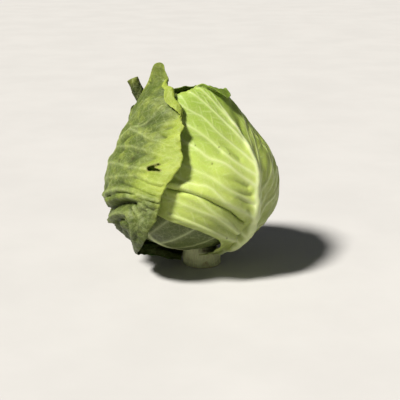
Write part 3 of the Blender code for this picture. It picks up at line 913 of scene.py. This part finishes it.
def build_heart(settings, finish):
    """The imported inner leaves: a ball whose spiral steps are their edges, ribbed from the foot up."""
    clear_selection()
    bpy.ops.mesh.primitive_uv_sphere_add(radius=1.0, **HEART_GRID)
    obj = bpy.context.active_object
    obj.name = obj.data.name = "heart_fine"
    mesh = obj.data
    heading = np.zeros(len(mesh.vertices) * 3)
    mesh.vertices.foreach_get("co", heading)
    heading = heading.reshape(-1, 3)
    heading /= np.linalg.norm(heading, axis=1, keepdims=True)
    latitude = np.degrees(np.arcsin(np.clip(heading[:, 2], -1.0, 1.0)))
    azimuth = np.degrees(np.arctan2(heading[:, 1], heading[:, 0]))
    turn = (azimuth + HEART_SLANT * latitude) / HEART_LEAF
    step = HEART_STEP * (turn % 1.0) * smooth((latitude + 60.0) / 60.0)
    girth = np.cos(np.radians(latitude))
    off_rib = azimuth % HEART_RIBS - 0.5 * HEART_RIBS
    rib = np.exp(-((off_rib * girth * MM_A_DEGREE / HEART_RIB_WIDTH) ** 2))
    off_vein = (latitude - np.abs(off_rib) * 1.2) % HEART_VEINS - 0.5 * HEART_VEINS
    veins = np.exp(-(off_vein / HEART_VEIN_WIDTH) ** 2) * (1.0 - rib)
    x, y = azimuth * girth * MM_A_DEGREE, latitude * MM_A_DEGREE
    swell = rolling(x, y, HEART_SWELL_GAP, settings.seed) * girth
    detail = RIB_RISE * rib + VEIN_RISE * veins + SWELL_RISE * swell
    radius = head_radius(latitude) - layer_depth(1) - HEART_GAP - HEART_STEP + step + detail
    mesh.vertices.foreach_set("co", leaning(HEAD_CENTRE + radius[:, None] * heading).ravel())
    mesh.polygons.foreach_set("use_smooth", [True] * len(mesh.polygons))
    fields = {name: np.zeros_like(x) for name in ("edge", "torn", "crease_shade", "aged", "speck")}
    fields.update(flat_x=0.001 * x, flat_y=0.001 * y, height=0.5 + latitude / 180.0, vein=veins, rib=rib)
    for name, values in fields.items():
        set_values(mesh, name, values)
    set_values(mesh, "outer", np.ones_like(x))
    dress(obj, "heart", finish)


def stalk_rows(settings):
    """The stalk as rows of points round it, from its top's middle down its side to its cut face's middle."""
    slope = np.tan(np.radians(90.0 + FOOT_LATITUDE))
    base = head_radius(-90.0) - layer_depth(1) - HEART_GAP - HEART_STEP
    top = HEAD_CENTRE[2] - base - FOOT_GAP
    shoulder = (HEAD_CENTRE[2] - top) * slope - FOOT_GAP
    waist = (HEAD_CENTRE[2] - STALK_BARE) * slope - FOOT_GAP
    angle = np.linspace(0.0, 2.0 * np.pi, STALK_COLUMNS + 1)
    round_it = np.stack((np.cos(angle), np.sin(angle), 0.0 * angle), axis=1)
    round_it[-1] = round_it[0]
    axis = np.array((0.0, 0.0, 1.0))
    girth = 1000.0 * STALK_RADIUS
    fibre = rolling(np.cos(angle) * girth, np.sin(angle) * girth, FIBRE_GAP, settings.seed + 5)
    scars = rolling(np.cos(angle) * girth, np.sin(angle) * girth, SCAR_GAP, settings.seed + 6)
    over, neck, side, cut = STALK_ROWS
    rows = []
    for share in np.linspace(0.0, 1.0, over):
        rows.append(leaning(round_it * shoulder * share + axis * top))
    for share in np.linspace(0.0, 1.0, neck)[1:]:
        radius = shoulder + (waist - shoulder) * share
        rows.append(leaning(round_it * radius + axis * (top + (STALK_BARE - top) * share)))
    low = leaning(round_it * STALK_RADIUS - axis * STALK_SPARE)
    high = leaning(round_it * waist + axis * STALK_BARE)
    reach = (high[:, 2] / (high[:, 2] - low[:, 2]))[:, None]
    rim = high + (low - high) * reach
    rim[:, 2] = 0.0
    middle = rim[:-1].mean(axis=0)
    for share in np.linspace(0.0, 1.0, side)[1:]:
        ring = high + (rim - high) * share
        scarred = np.minimum(0.0, np.sin(share * 9.0 + scars * 1.4) - 0.2)
        dent = (FIBRE_DEPTH * (fibre - 1.5) + SCAR_DEPTH * scarred) * np.sin(np.pi * share) ** 0.5
        dent = dent - RIM_ROUNDING * smooth((share - 0.9) / 0.1)
        rows.append(ring + (ring - middle * share) / STALK_RADIUS * dent[:, None] * np.array((1.0, 1.0, 0.0)))
    rim = rows[-1]
    for share in np.linspace(0.0, 1.0, cut)[1:]:
        ring = rim + (middle - rim) * share
        waves = np.sin(girth * (1.0 - share) * 2.6 + 0.5 * scars)
        rise = RING_RISE * (1.0 + waves) + PITH_RISE * smooth((share - 0.55) / 0.4)
        ring[:, 2] = rise * smooth(share / 0.12)
        if share == 1.0:
            ring[:, 2] = ring[:, 2].mean()
        rows.append(ring)
    return np.array(rows)


def build_stalk(settings, finish):
    """The cut stalk: a grid wrapped round it, its seam and its two middles merged."""
    points = stalk_rows(settings)
    rows = len(points) - 1
    obj, row, column = fresh_grid("stalk", rows, STALK_COLUMNS)
    obj.data.vertices.foreach_set("co", points[row, column].ravel())
    set_values(obj.data, "cut_face", smooth((row / rows - CUT_FROM) / 0.01))
    select_only(obj)
    bpy.ops.object.mode_set(mode="EDIT")
    bpy.ops.mesh.select_all(action="SELECT")
    bpy.ops.mesh.remove_doubles(threshold=0.00001)
    bpy.ops.mesh.normals_make_consistent(inside=False)
    bpy.ops.object.mode_set(mode="OBJECT")
    bpy.ops.object.shade_smooth_by_angle(angle=np.radians(40.0))
    dress(obj, "stalk", finish)


def dress(obj, node, finish):
    """Gives a piece its finish, and lets it take the place of a node of the frame."""
    obj.data.materials.clear()
    obj.data.materials.append(finish)
    obj.data.update()
    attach(obj, "root")
    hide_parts(node)


# Finishes.


class Finish(NamedTuple):
    """What sets one leaf's skin apart from another's."""

    bloom: float            # how much waxy bloom lies on it
    yellow: float           # how far its margins and patches have yellowed
    blotch: float           # how uneven its green is
    spots: float            # how many dry specks it has
    net: float              # how plain the net of finest veins is
    vein: float             # how pale its side veins are
    grain: float            # how wrinkled its skin is
    greening: float         # how much greener it is towards its top
    foot_shade: float          # how much painted shade darkens it towards its foot
    inside: float           # how much darker green its inner face is, partly its own colour and partly painted shade
    roughness: float
    shine: float


FINISHES = {
    "inner": Finish(0.25, 0.10, 0.35, 0.05, 0.40, 0.80, 0.25, 0.30, 0.60, 0.20, 0.46, 0.27),
    "outer": Finish(0.15, 0.20, 0.50, 0.15, 0.30, 0.60, 0.35, 0.50, 0.80, 0.40, 0.48, 0.27),
    "pale": Finish(0.06, 0.12, 0.30, 0.25, 0.28, 0.95, 0.20, 0.95, 0.90, 0.85, 0.46, 0.27),
    "wilted": Finish(0.24, 0.40, 0.30, 0.35, 0.25, 0.26, 0.70, 0.20, 0.95, 0.80, 0.56, 0.27),
    "dark": Finish(0.00, 0.28, 0.90, 0.60, 0.25, 0.20, 1.00, 0.00, 0.00, 0.00, 0.62, 0.12),
}


class Recipe:
    """The nodes of one material, laid out in rows in the order in which they are added."""

    def __init__(self, name):
        self.material = bpy.data.materials.new(name)
        self.material.use_nodes = True
        self.tree = self.material.node_tree
        self.tree.nodes.clear()

    def add(self, kind, inputs=(), **values):
        """Adds a node; an input is a number, a colour or another node's socket."""
        node = self.tree.nodes.new(kind)
        node.location = (220 * (len(self.tree.nodes) % 12), -260 * (len(self.tree.nodes) // 12))
        for name, value in values.items():
            setattr(node, name, value)
        for socket, value in dict(inputs).items():
            if isinstance(value, bpy.types.NodeSocket):
                self.tree.links.new(value, node.inputs[socket])
            else:
                node.inputs[socket].default_value = value
        return node

    def field(self, name):
        return self.add("ShaderNodeAttribute", attribute_name=name).outputs["Fac"]

    def place(self):
        """A leaf's own flat coordinates in metres."""
        flat = {"X": self.field("flat_x"), "Y": self.field("flat_y")}
        return self.add("ShaderNodeCombineXYZ", flat).outputs["Vector"]

    def stretched(self, vector, scale, turn=0.0):
        inputs = {"Vector": vector, "Scale": scale, "Rotation": (0.0, 0.0, turn)}
        return self.add("ShaderNodeMapping", inputs).outputs["Vector"]

    def noise(self, vector, scale, detail=3.0, roughness=0.5, output="Fac"):
        inputs = {"Vector": vector, "Scale": scale, "Detail": detail, "Roughness": roughness}
        return self.add("ShaderNodeTexNoise", inputs).outputs[output]

    def cells(self, vector, scale, feature="DISTANCE_TO_EDGE"):
        inputs = {"Vector": vector, "Scale": scale}
        return self.add("ShaderNodeTexVoronoi", inputs, feature=feature).outputs["Distance"]

    def span(self, value, low, high, bottom=0.0, top=1.0):
        inputs = {"Value": value, "From Min": low, "From Max": high, "To Min": bottom, "To Max": top}
        return self.add("ShaderNodeMapRange", inputs, interpolation_type="SMOOTHSTEP").outputs["Result"]

    def math(self, operation, first, second=0.0):
        return self.add("ShaderNodeMath", {0: first, 1: second}, operation=operation).outputs["Value"]

    def times(self, first, second):
        return self.math("MULTIPLY", first, second)

    def total(self, *parts):
        """The sum of (value, share) pairs."""
        whole = self.times(*parts[0])
        for part in parts[1:]:
            whole = self.math("ADD", whole, self.times(*part))
        return whole

    def blend(self, share, first, second):
        """Mixes two colours, by the mix node's colour sockets."""
        return self.add("ShaderNodeMix", {0: share, 6: first, 7: second}, data_type="RGBA").outputs[2]

    def layered(self, colour, *layers):
        """A colour with others laid over it in turn, each by its share."""
        for share, tint in layers:
            colour = self.blend(share, colour, tint)
        return colour

    def bump(self, height, strength, distance):
        inputs = {"Height": height, "Strength": strength, "Distance": distance}
        return self.add("ShaderNodeBump", inputs).outputs["Normal"]

    def finish(self, **inputs):
        shader = self.add("ShaderNodeBsdfPrincipled", {k.replace("_", " "): v for k, v in inputs.items()})
        self.add("ShaderNodeOutputMaterial", {"Surface": shader.outputs["BSDF"]})
        return self.material


def tinted(colour, factor=1.0):
    """A colour for a socket, its channels times one factor or times three."""
    return tuple(np.multiply(colour[:3], factor)) + (1.0,)


def vein_net(recipe, place):
    """The net of finest veins: edges of large and small cells, bent a little."""
    bend = {0: recipe.noise(place, NET_SWAY_SCALE, 2.0, output="Color"), 1: NET_SWAY, 2: place}
    place = recipe.add("ShaderNodeVectorMath", bend, operation="MULTIPLY_ADD").outputs["Vector"]
    coarse = recipe.span(recipe.cells(place, COARSE_NET_SCALE), 0.0, 0.075, 1.0, 0.0)
    fine = recipe.span(recipe.cells(place, FINE_NET_SCALE), 0.0, 0.10, 1.0, 0.0)
    return recipe.total((coarse, 0.65), (fine, 0.35))


def leaf_material(name, blade, kind, colours):
    """A leaf's skin: its green uneven and bloomed, with pale ribs and a net of fine veins, painted shade in its
    creases and towards its foot, and partly painted shade on its inner face.
    """
    skin = FINISHES[kind]
    recipe = Recipe(name)
    place = recipe.place()
    height, vein, outer = recipe.field("height"), recipe.field("vein"), recipe.field("outer")
    net = vein_net(recipe, place)
    mottle = recipe.noise(place, MOTTLE_SCALE, 4.0, 0.6)
    green, brown = tinted(blade, GREENER), tinted(colours.brown)
    # The inner face's tint: the aged colour on the wilted leaf; on the others a darker green, partly their own colour
    # and partly painted shade.
    within = tinted(colours.aged, AGED_WITHIN) if kind == "wilted" else tinted(green, GREEN_INNER_FACE_AND_SHADE)
    clouds = recipe.span(recipe.noise(place, CLOUD_SCALE, 3.0, 0.55), 0.30, 0.70)
    bloom = recipe.span(recipe.noise(place, BLOOM_SCALE, 4.0, 0.5), 0.30, 0.75, 0.0, skin.bloom)
    patches = recipe.span(recipe.noise(place, PATCH_SCALE, 5.0, 0.58), 0.44, 0.72)
    yellowed = recipe.total((recipe.field("edge"), 0.48 * skin.yellow), (patches, 0.6 * skin.yellow))
    # Painted shade: darker towards the leaf's foot, by its finish's share.
    foot = recipe.span(height, 0.24, 0.62, skin.foot_shade, 0.0)
    # Vein colour, with painted shade towards the foot.
    pale = recipe.blend(recipe.times(foot, 0.5), tinted(colours.vein), tinted(colours.vein, 0.45))
    dots = recipe.span(recipe.cells(place, DOT_SCALE, "F1"), 0.05, 0.11, skin.spots, 0.0)
    where_dotted = recipe.span(recipe.noise(place, DOTTED_SCALE, 1.0), 0.50, 0.60)
    colour = recipe.layered(
        recipe.blend(clouds, tinted(blade, DEEP), tinted(blade, BRIGHT)),
        (1.0 - skin.blotch, tinted(blade)),
        (recipe.span(height, 0.45, 0.95, 0.0, skin.greening), green),
        (recipe.span(mottle, 0.42, 0.66, 0.0, 0.45 * skin.blotch), tinted(blade, DEEP)),
        (recipe.times(bloom, outer), tinted(colours.wax)),
        (recipe.times(recipe.field("aged"), 0.85), tinted(colours.aged)),
        (yellowed, tinted(colours.yellow)),
        # The inner face's tint, partly painted shade.
        (recipe.span(outer, 0.0, 1.0, skin.inside, 0.0), within),
        # Painted shade towards the foot.
        (foot, tinted(blade, FOOT_SHADE_TINT)),
        (recipe.times(net, 0.55 * skin.net), pale),
        (recipe.times(vein, skin.vein), pale),
        (recipe.span(recipe.field("rib"), 0.15, 0.85, 0.0, skin.vein), pale),
        (recipe.times(dots, where_dotted), brown),
        (recipe.times(recipe.field("speck"), 0.75), tinted(brown, 0.6)),
        (recipe.span(recipe.field("torn"), 0.15, 0.5, 0.0, 0.5), brown),
        # Painted shade in the creases.
        (recipe.times(recipe.field("crease_shade"), 0.65), tinted(blade, CREASE_SHADE_TINT)),
    )
    wrinkle = recipe.noise(recipe.stretched(place, (1.0, 2.6, 1.0), 0.5), WRINKLE_SCALE, 4.0, 0.6)
    grain = recipe.noise(place, GRAIN_SCALE, 3.0, 0.6)
    bumps = recipe.total((net, 0.5 * skin.net), (vein, 0.6), (wrinkle, skin.grain), (grain, 0.12))
    return recipe.finish(
        Base_Color=colour, Roughness=recipe.span(mottle, 0.3, 0.7, skin.roughness - 0.06, skin.roughness + 0.08),
        Normal=recipe.bump(bumps, 0.55, 0.0007), Subsurface_Weight=0.12, Subsurface_Scale=0.004,
        Subsurface_Radius=(0.55, 1.0, 0.15), Specular_IOR_Level=skin.shine,
    )


def stalk_material(colours):
    """Woody pith: a fibrous side, and a cut face with rings of vessels that has browned at its rim."""
    recipe = Recipe("cut stalk")
    place = recipe.add("ShaderNodeTexCoord").outputs["Object"]
    fibres = recipe.noise(recipe.stretched(place, (1.0, 1.0, 0.08)), GRAIN_SCALE, 4.0, 0.6)
    blotch = recipe.noise(place, STALK_BLOTCH_SCALE, 4.0, 0.6)
    flat = recipe.add("ShaderNodeVectorMath", {0: place, 1: (1.0, 1.0, 0.0)}, operation="MULTIPLY").outputs["Vector"]
    far = recipe.add("ShaderNodeVectorMath", {0: flat}, operation="LENGTH").outputs["Value"]
    rings = recipe.math("SINE", recipe.times(far, RING_PACE))
    vessels = recipe.span(recipe.cells(place, VESSEL_SCALE, "F1"), 0.12, 0.30, 0.45, 0.0)
    pith, aged = tinted(colours.cut), tinted(colours.brown, 3.0)
    skin = recipe.layered(
        tinted(pith, 0.82),
        (recipe.span(fibres, 0.35, 0.65), pith),
        (recipe.span(blotch, 0.52, 0.70, 0.0, 0.4), tinted(colours.brown, 3.2)),
    )
    face = recipe.layered(
        tinted(pith, 0.86),
        (recipe.span(rings, -1.0, 1.0), tinted(pith, 1.12)),
        (vessels, tinted(pith, 0.6)),
        (recipe.span(far, BROWNED_FROM, BROWNED_AT, 0.0, 0.7), aged),
        (recipe.span(blotch, 0.55, 0.75, 0.0, 0.5), aged),
    )
    return recipe.finish(
        Base_Color=recipe.blend(recipe.field("cut_face"), skin, face),
        Roughness=recipe.span(blotch, 0.3, 0.7, 0.55, 0.75),
        Normal=recipe.bump(recipe.total((fibres, 1.0), (rings, 0.15)), 0.6, 0.0008), Specular_IOR_Level=0.35,
    )


def floor_material(colour):
    recipe = Recipe("pale floor")
    place = recipe.add("ShaderNodeTexCoord").outputs["Object"]
    cloud = recipe.noise(place, 7.0, 4.0, 0.6)
    tint = recipe.blend(recipe.span(cloud, 0.3, 0.7), tinted(colour, 0.97), tinted(colour, 1.02))
    return recipe.finish(Base_Color=tint, Roughness=0.75, Specular_IOR_Level=0.2)


# Tools.


class CABBAGE_OT_crown_leaves(bpy.types.Operator):
    """Lay the three leaves that close over the crown"""

    bl_idname = "cabbage.crown_leaves"
    bl_label = "Crown leaves"

    def execute(self, context):
        settings, colours = context.scene.cabbage_leaves, context.scene.cabbage_colours
        finish = leaf_material("crown leaf skin", colours.inner, "inner", colours)
        for leaf in CROWN_LEAVES:
            build_leaf(leaf, settings, finish)
        return {"FINISHED"}


class CABBAGE_OT_wrapper_leaves(bpy.types.Operator):
    """Lay the large leaves that wrap the head, the wilted one last"""

    bl_idname = "cabbage.wrapper_leaves"
    bl_label = "Wrapper leaves"

    def execute(self, context):
        settings, colours = context.scene.cabbage_leaves, context.scene.cabbage_colours
        finishes = {
            "leaf_outer": leaf_material("outer leaf skin", colours.outer, "outer", colours),
            "leaf_pale": leaf_material("front leaf skin", colours.pale, "pale", colours),
            "leaf_wilted": leaf_material("wilted leaf skin", colours.wilted, "wilted", colours),
        }
        for leaf in WRAPPER_LEAVES:
            build_leaf(leaf, settings, finishes[leaf.slot])
        return {"FINISHED"}


class CABBAGE_OT_rolled_leaf(bpy.types.Operator):
    """Lay the narrow dark leaf that has dried and rolled up"""

    bl_idname = "cabbage.rolled_leaf"
    bl_label = "Rolled leaf"

    def execute(self, context):
        colours = context.scene.cabbage_colours
        finish = leaf_material("rolled leaf skin", colours.dark, "dark", colours)
        build_leaf(ROLLED_LEAF, context.scene.cabbage_leaves, finish)
        return {"FINISHED"}


class CABBAGE_OT_heart(bpy.types.Operator):
    """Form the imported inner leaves"""

    bl_idname = "cabbage.heart"
    bl_label = "Heart"

    def execute(self, context):
        colours = context.scene.cabbage_colours
        build_heart(context.scene.cabbage_leaves, leaf_material("heart skin", colours.inner, "inner", colours))
        return {"FINISHED"}


class CABBAGE_OT_stalk(bpy.types.Operator):
    """Turn the short cut stalk"""

    bl_idname = "cabbage.stalk"
    bl_label = "Stalk"

    def execute(self, context):
        build_stalk(context.scene.cabbage_leaves, stalk_material(context.scene.cabbage_colours))
        return {"FINISHED"}


def aim(obj, target):
    obj.rotation_euler = (Vector(target) - obj.location).to_track_quat("-Z", "Y").to_euler()


def add_light(name, kind, place, target, strength, colour):
    clear_selection()
    bpy.ops.object.light_add(type=kind, location=place)
    light = bpy.context.active_object
    light.name = name
    light.data.energy = strength
    light.data.color = colour
    aim(light, target)
    return light.data


class CABBAGE_OT_stage(bpy.types.Operator):
    """Set the floor, the lights and the camera"""

    bl_idname = "cabbage.stage"
    bl_label = "Floor, light and camera"

    def execute(self, context):
        stage = context.scene.cabbage_stage
        clear_selection()
        bpy.ops.mesh.primitive_grid_add(x_subdivisions=8, y_subdivisions=8, size=FLOOR_SIZE)
        floor = context.active_object
        floor.name = floor.data.name = "floor"
        floor.data.materials.append(floor_material(stage.floor))
        middle = (0.0, 0.0, float(HEAD_CENTRE[2]))
        key = add_light("key light", "SUN", KEY_PLACE, middle, stage.key, KEY_COLOUR)
        key.angle = np.radians(KEY_ANGLE)
        fill = add_light("fill light", "AREA", FILL_PLACE, middle, stage.fill, FILL_COLOUR)
        fill.shape = "DISK"
        fill.size = FILL_SIZE
        context.scene.world = bpy.data.worlds.new("even light")
        context.scene.world.use_nodes = True
        background = context.scene.world.node_tree.nodes["Background"].inputs
        background["Color"].default_value = SKY_COLOUR
        background["Strength"].default_value = stage.sky
        context.scene.view_settings.view_transform = "Standard"
        far = 0.5 * stage.field / (0.5 * SENSOR / LENS)
        lift = np.radians(stage.elevation)
        place = (0.0, -far * np.cos(lift), middle[2] + far * np.sin(lift))
        clear_selection()
        bpy.ops.object.camera_add(location=place)
        camera = context.active_object
        camera.name = "camera"
        camera.data.sensor_width = SENSOR
        camera.data.lens = LENS
        camera.data.shift_x, camera.data.shift_y = CAMERA_SHIFT
        aim(camera, middle)
        context.scene.camera = camera
        return {"FINISHED"}


class CABBAGE_PT_tools(bpy.types.Panel):
    """The cabbage's pieces, in the order in which they are made"""

    bl_idname = "CABBAGE_PT_tools"
    bl_label = "Cabbage"
    bl_space_type = "VIEW_3D"
    bl_region_type = "UI"
    bl_category = "Cabbage"

    def draw(self, context):
        for group in (context.scene.cabbage_leaves, context.scene.cabbage_colours, context.scene.cabbage_stage):
            box = self.layout.box()
            for name in group.__annotations__:
                box.prop(group, name)
        for tool in TOOLS:
            self.layout.operator(tool.bl_idname)


TOOLS = (
    CABBAGE_OT_heart, CABBAGE_OT_stalk, CABBAGE_OT_crown_leaves, CABBAGE_OT_wrapper_leaves, CABBAGE_OT_rolled_leaf,
    CABBAGE_OT_stage,
)
CLASSES = (CabbageLeafSettings, CabbageColourSettings, CabbageStageSettings) + TOOLS + (CABBAGE_PT_tools,)


def register():
    for cls in CLASSES:
        bpy.utils.register_class(cls)
    bpy.types.Scene.cabbage_leaves = PointerProperty(type=CabbageLeafSettings)
    bpy.types.Scene.cabbage_colours = PointerProperty(type=CabbageColourSettings)
    bpy.types.Scene.cabbage_stage = PointerProperty(type=CabbageStageSettings)


def unregister():
    del bpy.types.Scene.cabbage_leaves
    del bpy.types.Scene.cabbage_colours
    del bpy.types.Scene.cabbage_stage
    for cls in reversed(CLASSES):
        bpy.utils.unregister_class(cls)


def main():
    register()
    bpy.ops.cabbage.heart()
    bpy.ops.cabbage.stalk()
    bpy.ops.cabbage.crown_leaves()
    bpy.ops.cabbage.wrapper_leaves()
    bpy.ops.cabbage.rolled_leaf()
    bpy.ops.cabbage.stage()


if __name__ == "__main__":
    main()
